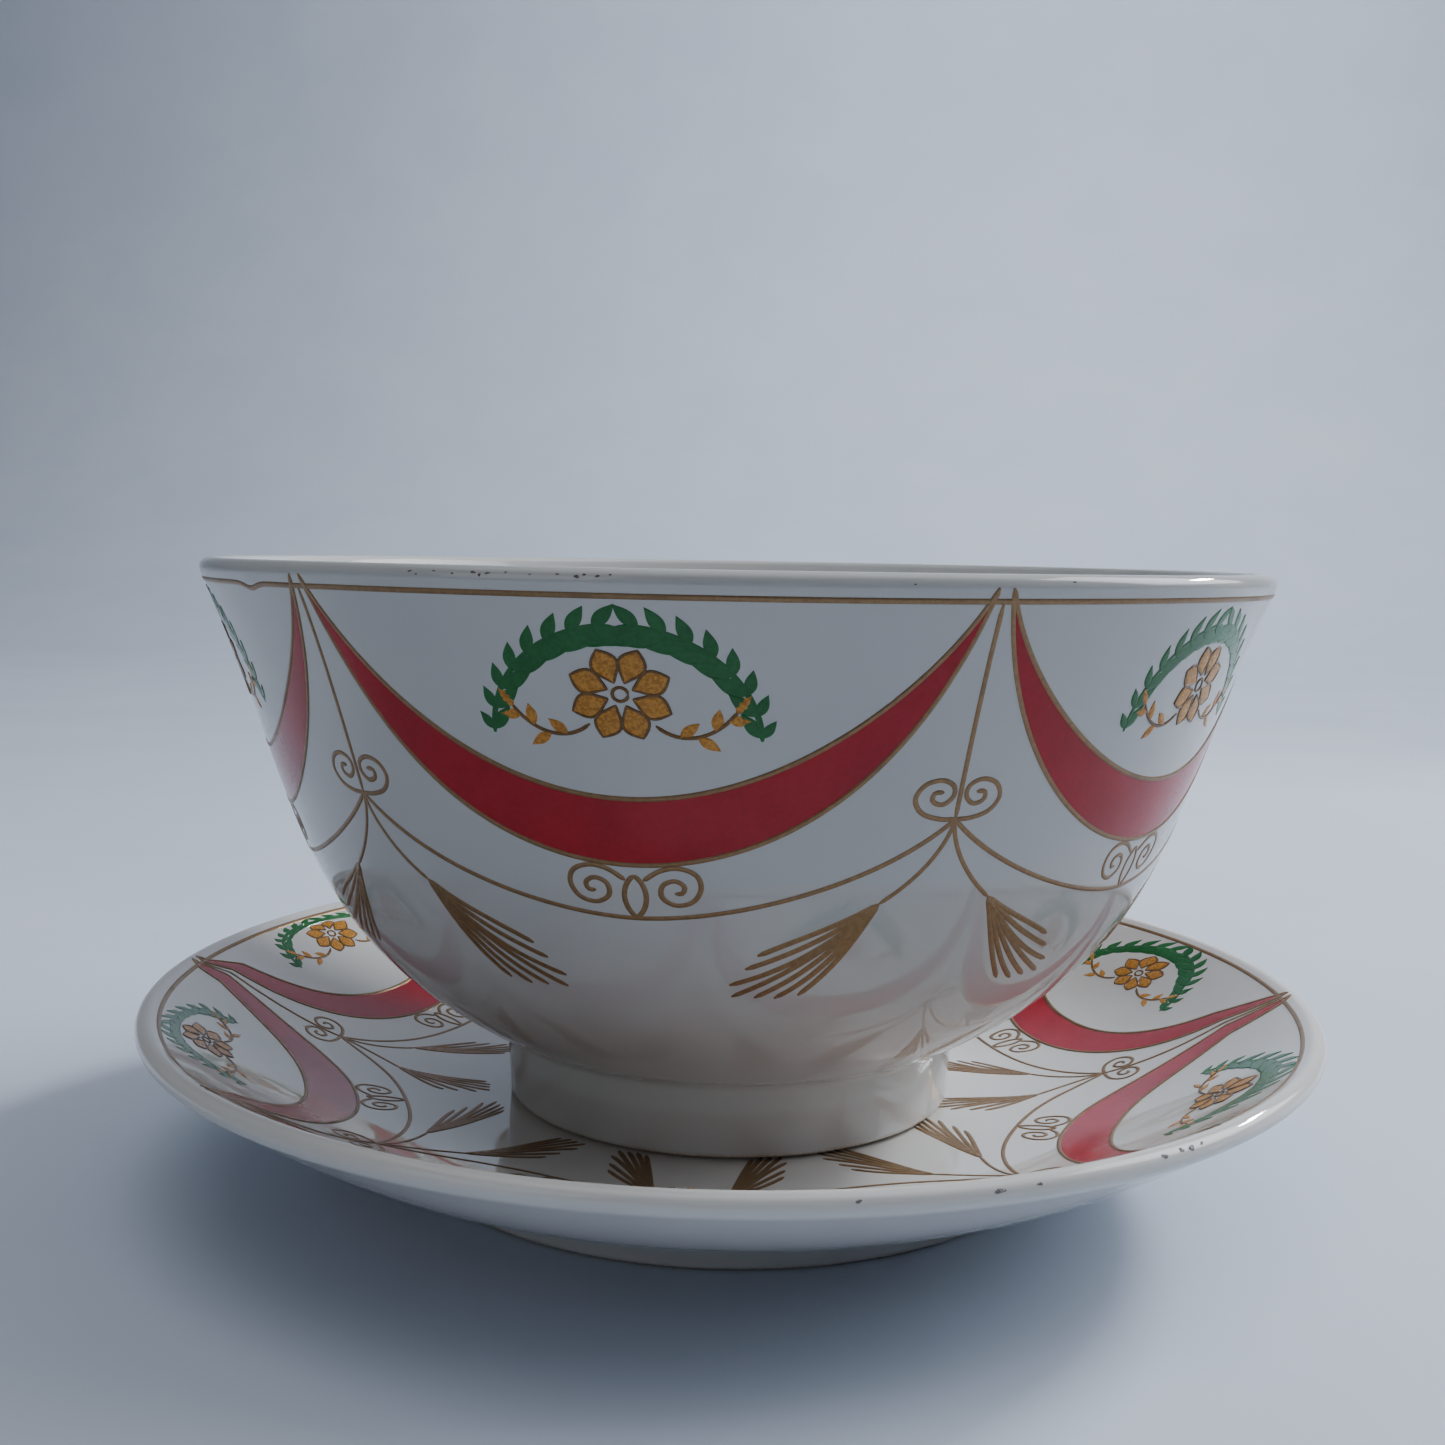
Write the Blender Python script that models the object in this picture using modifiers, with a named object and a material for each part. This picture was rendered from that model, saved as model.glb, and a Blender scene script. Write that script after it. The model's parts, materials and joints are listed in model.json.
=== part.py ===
"""A footed porcelain bowl standing in its matching saucer.

Metres, +Z up. The origin is in the middle of the circle on which the saucer's foot ring stands.
Both vessels are turned shapes about Z, so each is one profile and a Screw modifier.
"""

import math

import bpy
from mathutils import Vector

# The bowl
RIM_RADIUS = 0.0575
BOWL_HEIGHT = 0.0595
BOWL_LIP_RADIUS = 0.0010
BOWL_WALL_AT_LIP = 0.0021
BOWL_WALL_AT_FOOT = 0.0034
BOWL_FLOOR = 0.0036
WALL_ANGLE_AT_LIP = math.radians(66.8)
WALL_ANGLE_AT_FOOT = math.radians(28.9)
WALL_FULLNESS = 0.44

# The bowl's foot ring
FOOT_RADIUS = 0.0254
FOOT_HEIGHT = 0.0070
FOOT_TAPER = 0.0004
FOOT_RING_WIDTH = 0.0032
FOOT_RECESS = 0.0055
FOOT_FILLET = 0.0014
FOOT_EDGE = 0.0007

# The saucer
SAUCER_RADIUS = 0.0646
SAUCER_HEIGHT = 0.0191
SAUCER_LIP_RADIUS = 0.0011
SAUCER_WALL = 0.0028
SAUCER_FLOOR = 0.0032
SAUCER_ANGLE_AT_LIP = math.radians(33.0)
SAUCER_PULL_AT_WELL = 0.45
SAUCER_PULL_AT_LIP = 0.28

# The saucer's foot ring
SAUCER_FOOT_RADIUS = 0.0362
SAUCER_FOOT_RING_WIDTH = 0.0034
SAUCER_FOOT_HEIGHT = 0.0032
SAUCER_FOOT_FILLET = 0.0008

# How the two fit
WELL_PLAY = 0.0046
REST_GAP = 0.0003

# Fineness of the turned shapes
TURN_STEPS = 60
WALL_STEPS = 12
FLOOR_STEPS = 6
LIP_STEPS = 6
ROUND_STEPS = 3
MERGE_DISTANCE = 0.00005

WELL_RADIUS = FOOT_RADIUS + WELL_PLAY
WELL_FLOOR = SAUCER_FOOT_HEIGHT + SAUCER_FLOOR
BOWL_BASE = WELL_FLOOR + REST_GAP


def point(radius, height):
    return Vector((radius, 0.0, height))


def direction(angle):
    return point(math.cos(angle), math.sin(angle))


def arc(centre, radius, start, end, steps):
    """Points on an arc in the XZ plane, both ends included; the angles are in degrees from +X towards +Z."""
    turn = [start + (end - start) * i / steps for i in range(steps + 1)]
    return [centre + radius * direction(math.radians(angle)) for angle in turn]


def bezier(ends, handles, steps):
    """Points on a cubic curve, both ends included, and its normals on the left of the way it runs."""
    a, d = ends
    b, c = handles
    points = []
    normals = []
    for i in range(steps + 1):
        t = i / steps
        u = 1.0 - t
        points.append(u**3 * a + 3 * u * u * t * b + 3 * u * t * t * c + t**3 * d)
        along = (u * u * (b - a) + 2 * u * t * (c - b) + t * t * (d - c)).normalized()
        normals.append(point(-along.z, along.x))
    return points, normals


def turned(name, profile, material, collection):
    """A solid of revolution. The profile starts and ends on the axis and runs down its outer side."""
    mesh = bpy.data.meshes.new(name)
    edges = [(i, i + 1) for i in range(len(profile) - 1)]
    mesh.from_pydata(profile, edges, [])
    mesh.materials.append(material)
    solid = bpy.data.objects.new(name, mesh)
    collection.objects.link(solid)
    screw = solid.modifiers.new("Turn", "SCREW")
    screw.axis = "Z"
    screw.angle = math.tau
    screw.steps = TURN_STEPS
    screw.render_steps = TURN_STEPS
    screw.use_merge_vertices = True
    screw.merge_threshold = MERGE_DISTANCE
    screw.use_smooth_shade = True
    return solid


def bowl_wall():
    """The outside of the wall from the foot up to the lip, and the inside from the lip down to the foot."""
    lean = math.pi / 2 - WALL_ANGLE_AT_LIP
    lip_centre = point(RIM_RADIUS - BOWL_LIP_RADIUS, BOWL_HEIGHT - BOWL_LIP_RADIUS)
    top = lip_centre + BOWL_LIP_RADIUS * direction(-lean)
    # The wall meets the foot ring in a fillet, which starts where the wall's line passes the ring.
    bottom = point(FOOT_RADIUS + FOOT_FILLET, FOOT_HEIGHT + FOOT_FILLET * math.cos(WALL_ANGLE_AT_FOOT))
    pull = WALL_FULLNESS * (top - bottom).length
    handles = (
        bottom + pull * direction(WALL_ANGLE_AT_FOOT),
        top - pull * direction(WALL_ANGLE_AT_LIP),
    )
    outside, normals = bezier((bottom, top), handles, WALL_STEPS)
    inside = []
    for i, (place, normal) in enumerate(zip(outside, normals)):
        share = i / WALL_STEPS
        thickness = BOWL_WALL_AT_FOOT + (BOWL_WALL_AT_LIP - BOWL_WALL_AT_FOOT) * share
        inside.append(place + thickness * normal)
    lean_degrees = math.degrees(lean)
    lip = arc(lip_centre, BOWL_LIP_RADIUS, 180.0 - lean_degrees, -lean_degrees, LIP_STEPS)
    return outside, inside, lip


def bowl_profile():
    outside, inside, lip = bowl_wall()

    floor_height = FOOT_RECESS + BOWL_FLOOR
    floor_edge = inside[0]
    rise = floor_edge.z - floor_height
    floor_handles = (
        point(floor_edge.x - 2.2 * rise / math.tan(WALL_ANGLE_AT_FOOT), floor_height),
        floor_edge - 0.9 * rise * point(1.0 / math.tan(WALL_ANGLE_AT_FOOT), 1.0),
    )
    floor, _ = bezier((point(0.0, floor_height), floor_edge), floor_handles, FLOOR_STEPS)

    foot_bottom = FOOT_RADIUS - FOOT_TAPER
    ring_inner = FOOT_RADIUS - FOOT_RING_WIDTH
    foot = [point(FOOT_RADIUS, FOOT_HEIGHT - FOOT_FILLET / 2)]
    foot += arc(point(foot_bottom - FOOT_EDGE, FOOT_EDGE), FOOT_EDGE, 0.0, -90.0, ROUND_STEPS)
    foot += arc(point(ring_inner + FOOT_EDGE, FOOT_EDGE), FOOT_EDGE, -90.0, -180.0, ROUND_STEPS)
    ceiling_corner = point(ring_inner - FOOT_EDGE, FOOT_RECESS - FOOT_EDGE)
    foot += arc(ceiling_corner, FOOT_EDGE, 0.0, 90.0, ROUND_STEPS)
    foot.append(point(0.0, FOOT_RECESS))

    profile = floor[:-1] + inside[:-1] + lip + outside[-2::-1] + foot
    return [place + point(0.0, BOWL_BASE) for place in profile]


def saucer_profile():
    lean_degrees = math.degrees(SAUCER_ANGLE_AT_LIP)
    lip_centre = point(SAUCER_RADIUS - SAUCER_LIP_RADIUS, SAUCER_HEIGHT - SAUCER_LIP_RADIUS)
    lip_top = 90.0 + lean_degrees
    lip = arc(lip_centre, SAUCER_LIP_RADIUS, lip_top, lip_top - 180.0, LIP_STEPS)

    well_edge = point(WELL_RADIUS, WELL_FLOOR)
    span = (lip[0] - well_edge).length
    handles = (
        well_edge + point(SAUCER_PULL_AT_WELL * span, 0.0),
        lip[0] - SAUCER_PULL_AT_LIP * span * direction(SAUCER_ANGLE_AT_LIP),
    )
    dish, normals = bezier((well_edge, lip[0]), handles, WALL_STEPS)

    # The underside follows the dish down to the foot ring, thinning from the full wall to the lip.
    underside = []
    for i, (place, normal) in enumerate(zip(dish, normals)):
        share = i / WALL_STEPS
        thickness = SAUCER_WALL + (2 * SAUCER_LIP_RADIUS - SAUCER_WALL) * share
        below = place - thickness * normal
        if below.x > SAUCER_FOOT_RADIUS + SAUCER_FOOT_FILLET:
            underside.append(below)
    underside.reverse()

    ring_inner = SAUCER_FOOT_RADIUS - SAUCER_FOOT_RING_WIDTH
    fillet = SAUCER_FOOT_FILLET
    foot_top = underside[-1].z - fillet
    foot = [point(SAUCER_FOOT_RADIUS, foot_top)]
    foot += arc(point(SAUCER_FOOT_RADIUS - fillet, fillet), fillet, 0.0, -90.0, ROUND_STEPS)
    foot += arc(point(ring_inner + fillet, fillet), fillet, -90.0, -180.0, ROUND_STEPS)
    ceiling_corner = point(ring_inner - fillet, SAUCER_FOOT_HEIGHT - fillet)
    foot += arc(ceiling_corner, fillet, 0.0, 90.0, ROUND_STEPS)
    foot.append(point(0.0, SAUCER_FOOT_HEIGHT))

    return [point(0.0, WELL_FLOOR)] + dish[:-1] + lip + underside[1:] + foot


def glaze(name, colour, roughness):
    material = bpy.data.materials.new(name)
    material.use_nodes = True
    shader = material.node_tree.nodes["Principled BSDF"]
    shader.inputs["Base Color"].default_value = (*colour, 1.0)
    shader.inputs["Roughness"].default_value = roughness
    shader.inputs["Metallic"].default_value = 0.0
    material.diffuse_color = (*colour, 1.0)
    return material


def main():
    for thing in list(bpy.data.objects):
        bpy.data.objects.remove(thing)
    parts = bpy.data.collections.new("bowl_and_saucer")
    bpy.context.scene.collection.children.link(parts)

    bowl_glaze = glaze("bowl_glaze", (0.80, 0.80, 0.80), 0.10)
    saucer_glaze = glaze("saucer_glaze", (0.80, 0.79, 0.77), 0.12)
    turned("saucer", saucer_profile(), saucer_glaze, parts)

    # The bowl's origin is on the axis along which it lifts out of the saucer.
    turned("bowl", bowl_profile(), bowl_glaze, parts)


main()
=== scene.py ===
# %% [markdown]
# # A painted porcelain bowl in its saucer
#
# The object is two pieces of turned white porcelain. A footed bowl stands loose in the well of a
# matching saucer, and both carry the same border: crimson swags, gilt lines, tassels and small
# wreaths. This lesson builds the looks of both around a fixed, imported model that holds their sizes.
# Everything is in metres with +Z up, and both vessels are centred on the Z axis.

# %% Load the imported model
import json
import math

import bpy
import numpy as np
from mathutils import Matrix, Vector

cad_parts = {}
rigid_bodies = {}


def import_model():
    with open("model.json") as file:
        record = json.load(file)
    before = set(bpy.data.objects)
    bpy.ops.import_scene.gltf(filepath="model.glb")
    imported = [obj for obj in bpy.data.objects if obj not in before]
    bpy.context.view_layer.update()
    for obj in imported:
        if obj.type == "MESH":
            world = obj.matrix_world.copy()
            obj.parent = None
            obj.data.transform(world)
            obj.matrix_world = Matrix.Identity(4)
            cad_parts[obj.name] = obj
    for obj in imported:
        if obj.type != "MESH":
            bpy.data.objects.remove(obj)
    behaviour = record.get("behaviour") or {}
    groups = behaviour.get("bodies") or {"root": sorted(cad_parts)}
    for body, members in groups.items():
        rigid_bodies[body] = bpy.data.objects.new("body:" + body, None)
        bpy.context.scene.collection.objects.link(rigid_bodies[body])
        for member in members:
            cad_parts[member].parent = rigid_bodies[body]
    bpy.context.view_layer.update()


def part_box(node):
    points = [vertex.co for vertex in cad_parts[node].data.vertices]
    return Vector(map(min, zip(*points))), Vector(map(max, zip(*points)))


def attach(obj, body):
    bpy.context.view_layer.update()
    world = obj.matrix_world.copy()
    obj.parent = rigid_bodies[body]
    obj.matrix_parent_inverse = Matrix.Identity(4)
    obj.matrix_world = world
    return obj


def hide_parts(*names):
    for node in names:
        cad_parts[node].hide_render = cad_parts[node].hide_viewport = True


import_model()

bowl_low, bowl_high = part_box("bowl")
saucer_low, saucer_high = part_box("saucer")
print("bowl", [round(1000 * v, 2) for v in (*bowl_low, *bowl_high)], "mm")
print("saucer", [round(1000 * v, 2) for v in (*saucer_low, *saucer_high)], "mm")

# %% [markdown]
# ## The camera
#
# The camera stands almost level with the rim and some 12 cm in front of it, so the near side of the
# rim hides the inside and the saucer is seen as a flat oval. It could be aimed at the bowl with a
# constraint. Here its axes are written straight into its matrix, because it is tilted a little to
# one side as well as down, and its lens is set from the angle it takes in.

# %% Place the camera
CAMERA_PLACE = Vector((0.0, -0.18301, 0.06772))
CAMERA_YAW = math.radians(-0.434)
CAMERA_PITCH = math.radians(6.065)
CAMERA_ROLL = math.radians(0.966)
CAMERA_ANGLE = math.radians(47.94)


def camera_axes(yaw, pitch, roll):
    """The camera's right, up and backward directions."""
    forward = Vector((math.sin(yaw) * math.cos(pitch), math.cos(yaw) * math.cos(pitch), -math.sin(pitch)))
    level = Vector((math.cos(yaw), -math.sin(yaw), 0.0))
    upright = level.cross(forward)
    right = math.cos(roll) * level + math.sin(roll) * upright
    up = -math.sin(roll) * level + math.cos(roll) * upright
    return right, up, -forward


def add_camera():
    data = bpy.data.cameras.new("camera")
    data.angle = CAMERA_ANGLE
    data.clip_start = 0.01
    camera = bpy.data.objects.new("camera", data)
    bpy.context.scene.collection.objects.link(camera)
    turn = Matrix(camera_axes(CAMERA_YAW, CAMERA_PITCH, CAMERA_ROLL)).transposed()
    camera.matrix_world = Matrix.Translation(CAMERA_PLACE) @ turn.to_4x4()
    bpy.context.scene.camera = camera
    return camera


camera = add_camera()
print("lens", round(camera.data.lens, 2), "mm")

# %% [markdown]
# ## The outlines of the two vessels
#
# A potter's profile is a few curves: the wall, the lip, the floor and the foot ring. Each wall is
# one cubic curve that leaves the foot at one angle and reaches the lip at another, which is how a
# template for jiggering such a bowl is drawn. The inside follows it at the wall's own thickness.
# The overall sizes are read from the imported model, so the fine shapes stand exactly in its place.

# %% Sizes of the outlines
MM = 0.001
RIM_RADIUS = bowl_high.x
BOWL_BASE = bowl_low.z
BOWL_TOP = bowl_high.z
BOWL_LIP = 1.0 * MM
BOWL_WALL_AT_LIP = 2.1 * MM
BOWL_WALL_AT_FOOT = 3.4 * MM
BOWL_FLOOR = 3.6 * MM
WALL_ANGLE_AT_LIP = 66.8
WALL_ANGLE_AT_FOOT = 28.9
WALL_FULLNESS = 0.44
FOOT_RADIUS = 25.4 * MM
FOOT_HEIGHT = 7.0 * MM
FOOT_TAPER = 0.4 * MM
FOOT_RING_WIDTH = 3.2 * MM
FOOT_RECESS = 5.5 * MM
FOOT_FILLET = 1.4 * MM
FOOT_EDGE = 0.7 * MM

SAUCER_RADIUS = saucer_high.x
SAUCER_TOP = saucer_high.z
SAUCER_LIP = 1.1 * MM
SAUCER_WALL = 2.8 * MM
SAUCER_ANGLE_AT_LIP = 33.0
SAUCER_PULL_AT_WELL = 0.45
SAUCER_PULL_AT_LIP = 0.28
SAUCER_FOOT_RADIUS = 36.2 * MM
SAUCER_FOOT_RING_WIDTH = 3.4 * MM
SAUCER_FOOT_HEIGHT = 3.2 * MM
SAUCER_FOOT_FILLET = 0.8 * MM
WELL_RADIUS = FOOT_RADIUS + 4.6 * MM
WELL_FLOOR = BOWL_BASE - 0.3 * MM

BOWL_LIP_CENTRE = np.array([RIM_RADIUS - BOWL_LIP, BOWL_TOP - BOWL_LIP])
SAUCER_LIP_CENTRE = np.array([SAUCER_RADIUS - SAUCER_LIP, SAUCER_TOP - SAUCER_LIP])
print("the bowl stands", round((BOWL_BASE - WELL_FLOOR) / MM, 2), "mm over the well's floor")

# %% Curves that the outlines are drawn with
WALL_STEPS = 40
LIP_STEPS = 10
ROUND_STEPS = 5


def heading(angle):
    """A unit step in the profile's plane; the angle is in degrees from level, outwards, up to +Z."""
    return np.array([math.cos(math.radians(angle)), math.sin(math.radians(angle))])


def arc(centre, radius, start, end, steps=ROUND_STEPS):
    return [centre + radius * heading(start + (end - start) * i / steps) for i in range(steps + 1)]


def bezier(start, start_handle, end_handle, end, steps=WALL_STEPS):
    """Points on one cubic curve, both ends included, as rows of an array."""
    t = np.linspace(0.0, 1.0, steps + 1)[:, None]
    u = 1.0 - t
    points = u**3 * np.array(start) + 3 * u * u * t * np.array(start_handle)
    return points + 3 * u * t * t * np.array(end_handle) + t**3 * np.array(end)


def left_normals(points):
    along = np.gradient(points, axis=0)
    along /= np.linalg.norm(along, axis=1)[:, None]
    return np.stack([-along[:, 1], along[:, 0]], axis=1)


print("a wall has", WALL_STEPS, "steps, a lip", LIP_STEPS, "and a small round", ROUND_STEPS)

# %% Draw the bowl's outline
INNER_FLOOR_FLATNESS = 2.2
INNER_FLOOR_BEND = 0.9
INNER_FLOOR_STEPS = 16


def bowl_outside():
    """The wall from the foot's fillet up to the lip."""
    top = BOWL_LIP_CENTRE + BOWL_LIP * heading(WALL_ANGLE_AT_LIP - 90.0)
    rise = FOOT_HEIGHT + FOOT_FILLET * math.cos(math.radians(WALL_ANGLE_AT_FOOT))
    bottom = np.array([FOOT_RADIUS + FOOT_FILLET, BOWL_BASE + rise])
    pull = WALL_FULLNESS * np.linalg.norm(top - bottom)
    first = bottom + pull * heading(WALL_ANGLE_AT_FOOT)
    return bezier(bottom, first, top - pull * heading(WALL_ANGLE_AT_LIP), top)


def bowl_outline():
    """The whole profile, from the middle of the floor over the lip and down to the foot's recess."""
    outside = bowl_outside()
    share = np.linspace(0.0, 1.0, len(outside))[:, None]
    thickness = BOWL_WALL_AT_FOOT + (BOWL_WALL_AT_LIP - BOWL_WALL_AT_FOOT) * share
    inside = outside + thickness * left_normals(outside)

    floor_height = BOWL_BASE + FOOT_RECESS + BOWL_FLOOR
    rise = inside[0][1] - floor_height
    run = rise / math.tan(math.radians(WALL_ANGLE_AT_FOOT))
    flat = (inside[0][0] - INNER_FLOOR_FLATNESS * run, floor_height)
    bend = inside[0] - INNER_FLOOR_BEND * np.array([run, rise])
    floor = bezier((0.0, floor_height), flat, bend, inside[0], INNER_FLOOR_STEPS)

    lean = 90.0 - WALL_ANGLE_AT_LIP
    lip = arc(BOWL_LIP_CENTRE, BOWL_LIP, 180.0 - lean, -lean, LIP_STEPS)

    ring_inner = FOOT_RADIUS - FOOT_RING_WIDTH
    fillet_centre = np.array([FOOT_RADIUS + FOOT_FILLET, BOWL_BASE + FOOT_HEIGHT])
    foot = arc(fillet_centre, FOOT_FILLET, 90.0 + WALL_ANGLE_AT_FOOT, 180.0)
    outer_edge = np.array([FOOT_RADIUS - FOOT_TAPER - FOOT_EDGE, BOWL_BASE + FOOT_EDGE])
    foot += arc(outer_edge, FOOT_EDGE, 0.0, -90.0)
    foot += arc(np.array([ring_inner + FOOT_EDGE, BOWL_BASE + FOOT_EDGE]), FOOT_EDGE, -90.0, -180.0)
    recess = np.array([ring_inner - FOOT_EDGE, BOWL_BASE + FOOT_RECESS - FOOT_EDGE])
    foot += arc(recess, FOOT_EDGE, 0.0, 90.0)
    foot.append(np.array([0.0, BOWL_BASE + FOOT_RECESS]))
    return [*floor[:-1], *inside[:-1], *lip, *outside[-2::-1], *foot]


bowl_profile = bowl_outline()
print("bowl outline", len(bowl_profile), "points")

# %% Draw the saucer's outline


def saucer_dish():
    """The face of the saucer, from the edge of its well up to its lip."""
    top = SAUCER_LIP_CENTRE + SAUCER_LIP * heading(90.0 + SAUCER_ANGLE_AT_LIP)
    well_edge = np.array([WELL_RADIUS, WELL_FLOOR])
    span = np.linalg.norm(top - well_edge)
    level = well_edge + np.array([SAUCER_PULL_AT_WELL * span, 0.0])
    return bezier(well_edge, level, top - SAUCER_PULL_AT_LIP * span * heading(SAUCER_ANGLE_AT_LIP), top)


def saucer_outline():
    dish = saucer_dish()
    share = np.linspace(0.0, 1.0, len(dish))[:, None]
    thickness = SAUCER_WALL + (2 * SAUCER_LIP - SAUCER_WALL) * share
    below = dish - thickness * left_normals(dish)
    underside = [place for place in below[::-1] if place[0] > SAUCER_FOOT_RADIUS + SAUCER_FOOT_FILLET]

    start = 90.0 + SAUCER_ANGLE_AT_LIP
    lip = arc(SAUCER_LIP_CENTRE, SAUCER_LIP, start, start - 180.0, LIP_STEPS)

    fillet = SAUCER_FOOT_FILLET
    ring_inner = SAUCER_FOOT_RADIUS - SAUCER_FOOT_RING_WIDTH
    foot = [np.array([SAUCER_FOOT_RADIUS, underside[-1][1] - fillet])]
    foot += arc(np.array([SAUCER_FOOT_RADIUS - fillet, fillet]), fillet, 0.0, -90.0)
    foot += arc(np.array([ring_inner + fillet, fillet]), fillet, -90.0, -180.0)
    foot += arc(np.array([ring_inner - fillet, SAUCER_FOOT_HEIGHT - fillet]), fillet, 0.0, 90.0)
    foot.append(np.array([0.0, SAUCER_FOOT_HEIGHT]))
    return [np.array([0.0, WELL_FLOOR]), *dish[:-1], *lip, *underside[1:], *foot]


saucer_profile = saucer_outline()
print("saucer outline", len(saucer_profile), "points")

# %% [markdown]
# ## Throwing the vessels
#
# A vessel could be a cylinder whose loops are scaled, but a wheel makes it in one go: a single point
# is drawn out along the profile, and the line is spun round the axis. A plane merged to its centre
# gives the point, one extrusion adds each further point, and Spin sweeps the line. The first and
# last points lie on the axis, so merging doubles closes the poles and the seam.

# %% Spin a profile into a vessel
SPIN_STEPS = 240


def deselect_all():
    bpy.ops.object.select_all(action="DESELECT")


def spin_vessel(name, profile):
    deselect_all()
    bpy.ops.mesh.primitive_plane_add(size=1.0)
    vessel = bpy.context.object
    vessel.name = name
    vessel.data.name = name
    bpy.ops.object.mode_set(mode="EDIT")
    bpy.ops.mesh.merge(type="CENTER")
    bpy.ops.transform.translate(value=(profile[0][0], 0.0, profile[0][1]))
    for here, there in zip(profile, profile[1:]):
        step = (there[0] - here[0], 0.0, there[1] - here[1])
        bpy.ops.mesh.extrude_region_move(TRANSFORM_OT_translate={"value": step})
    bpy.ops.mesh.select_all(action="SELECT")
    bpy.ops.mesh.spin(steps=SPIN_STEPS, angle=math.tau, center=(0, 0, 0), axis=(0, 0, 1))
    bpy.ops.mesh.select_all(action="SELECT")
    bpy.ops.mesh.remove_doubles(threshold=0.002 * MM)
    bpy.ops.mesh.normals_make_consistent(inside=False)
    bpy.ops.object.mode_set(mode="OBJECT")
    bpy.ops.object.shade_smooth()
    print(name, len(vessel.data.polygons), "faces", tuple(round(1000 * d, 2) for d in vessel.dimensions))
    return vessel


bowl = spin_vessel("bowl_body", bowl_profile)
saucer = spin_vessel("saucer_body", saucer_profile)

# %% Give each vessel its body
VESSELS = {"bowl": (bowl, "bowl_glaze"), "saucer": (saucer, "saucer_glaze")}

for node, (vessel, finish) in VESSELS.items():
    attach(vessel, node)
    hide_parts(node)
    print(vessel.name, "rides on", node, "and has the slot", finish)

# %% [markdown]
# ## The painted border, and the ground it is painted on
#
# On the real pieces the border is a printed transfer with gilt lines: a skin of enamel a few
# hundredths of a millimetre thick, fired onto the glaze. It could be a picture on the surface, but
# then a fine line is only as sharp as the picture. Here every line and leaf is a thin strip of real
# enamel that follows the glaze. A ground turns two numbers, how far round the vessel and how far in
# from the lip, into a place on the glaze, so one drawing of a sixth of the bowl serves both vessels:
# the bowl holds it six times and the wider saucer eight times. Transfers are laid by hand, so the
# bowl's swags aren't all equally wide, and the saucer's border lies a little off the middle.

# %% How the border is shared out
DRAWN_SPAN = 60.0
BOWL_SPANS = (63.6, 61.0, 58.85, 58.85, 58.85, 58.85)
BOWL_FIRST_MIDDLE = -99.85
SAUCER_SPANS = (45.0,) * 8
SAUCER_FIRST_MIDDLE = -115.66
SAUCER_OFF_MIDDLE = (-1.4 * MM, 2.3 * MM)
SHIFT_EASE = 4.0 * MM
NARROWING_AT_LIP = 1.08
NARROWING_PER_MM = 0.0135
print("bowl", len(BOWL_SPANS), "spans, saucer", len(SAUCER_SPANS), "spans")

# %% The ground that a border is painted on


class Ground:
    """The painted face of a vessel: degrees round it, and millimetres in from the lip along its glaze."""

    def __init__(self, outline, lip_points, faces_out, spans, first_middle):
        outline = np.array(outline)
        steps = np.linalg.norm(np.diff(outline, axis=0), axis=1) / MM
        self.distance = np.concatenate([[0.0], np.cumsum(steps)])
        self.distance -= self.distance[lip_points]
        self.outline = outline
        self.normal = left_normals(outline) * (1.0 if faces_out else -1.0)
        self.spans = spans
        self.squeeze = 360.0 / len(spans) / DRAWN_SPAN
        self.first_middle = first_middle

    def read(self, column, distance):
        return np.interp(distance, self.distance, column)

    def at(self, path, rise=0.0):
        """Places on the glaze, or a rise in millimetres above it, for rows of degrees and distance."""
        angle = np.radians(self.first_middle + self.squeeze * path[..., 0])
        distance = path[..., 1]
        lift = np.asarray(rise) * MM
        radius = self.read(self.outline[:, 0], distance) + lift * self.read(self.normal[:, 0], distance)
        height = self.read(self.outline[:, 1], distance) + lift * self.read(self.normal[:, 1], distance)
        return np.stack([radius * np.cos(angle), radius * np.sin(angle), height], axis=-1)

    def narrowing(self, distance):
        """How much of its drawn width a shape keeps: the saucer's transfer draws together at the well."""
        return 1.0 if self.squeeze == 1.0 else NARROWING_AT_LIP - NARROWING_PER_MM * distance

    def around(self, meridian, shape):
        """Turns a shape in millimetres, drawn beside a meridian, into rows of degrees and distance."""
        shape = np.array(shape, float)
        radius = self.read(self.outline[:, 0], shape[..., 1]) / MM
        width = self.narrowing(shape[..., 1]) * shape[..., 0] / self.squeeze
        return np.stack([meridian + np.degrees(width / radius), shape[..., 1]], axis=-1)

    def settle(self, piece, off_middle):
        """Spreads the repeats to their own widths, and moves the border off the middle along the glaze."""
        places = np.empty(len(piece.data.vertices) * 3, np.float32)
        piece.data.vertices.foreach_get("co", places)
        x, y, z = places.reshape(-1, 3).astype(float).T
        radius = np.hypot(x, y)
        drawn_posts = (np.arange(len(self.spans) + 1) - 0.5) * 360.0 / len(self.spans)
        posts = np.cumsum([-0.5 * self.spans[0], *self.spans])
        angle = np.degrees(np.arctan2(y, x)) - self.first_middle
        angle = (angle - drawn_posts[0]) % 360.0 + drawn_posts[0]
        angle = np.radians(self.first_middle + np.interp(angle, drawn_posts, posts))
        share = np.clip((self.read(self.outline[:, 0], 1.0) - radius) / SHIFT_EASE, 0.0, 1.0)
        x = radius * np.cos(angle) + share * off_middle[0]
        y = radius * np.sin(angle) + share * off_middle[1]
        heights = [np.interp(-r, -self.outline[:, 0], self.outline[:, 1]) for r in (np.hypot(x, y), radius)]
        z = z + np.where(share * np.hypot(*off_middle) > 0.0, heights[0] - heights[1], 0.0)
        piece.data.vertices.foreach_set("co", np.stack([x, y, z], axis=1).astype(np.float32).ravel())


# %% The grounds of the two vessels


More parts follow.
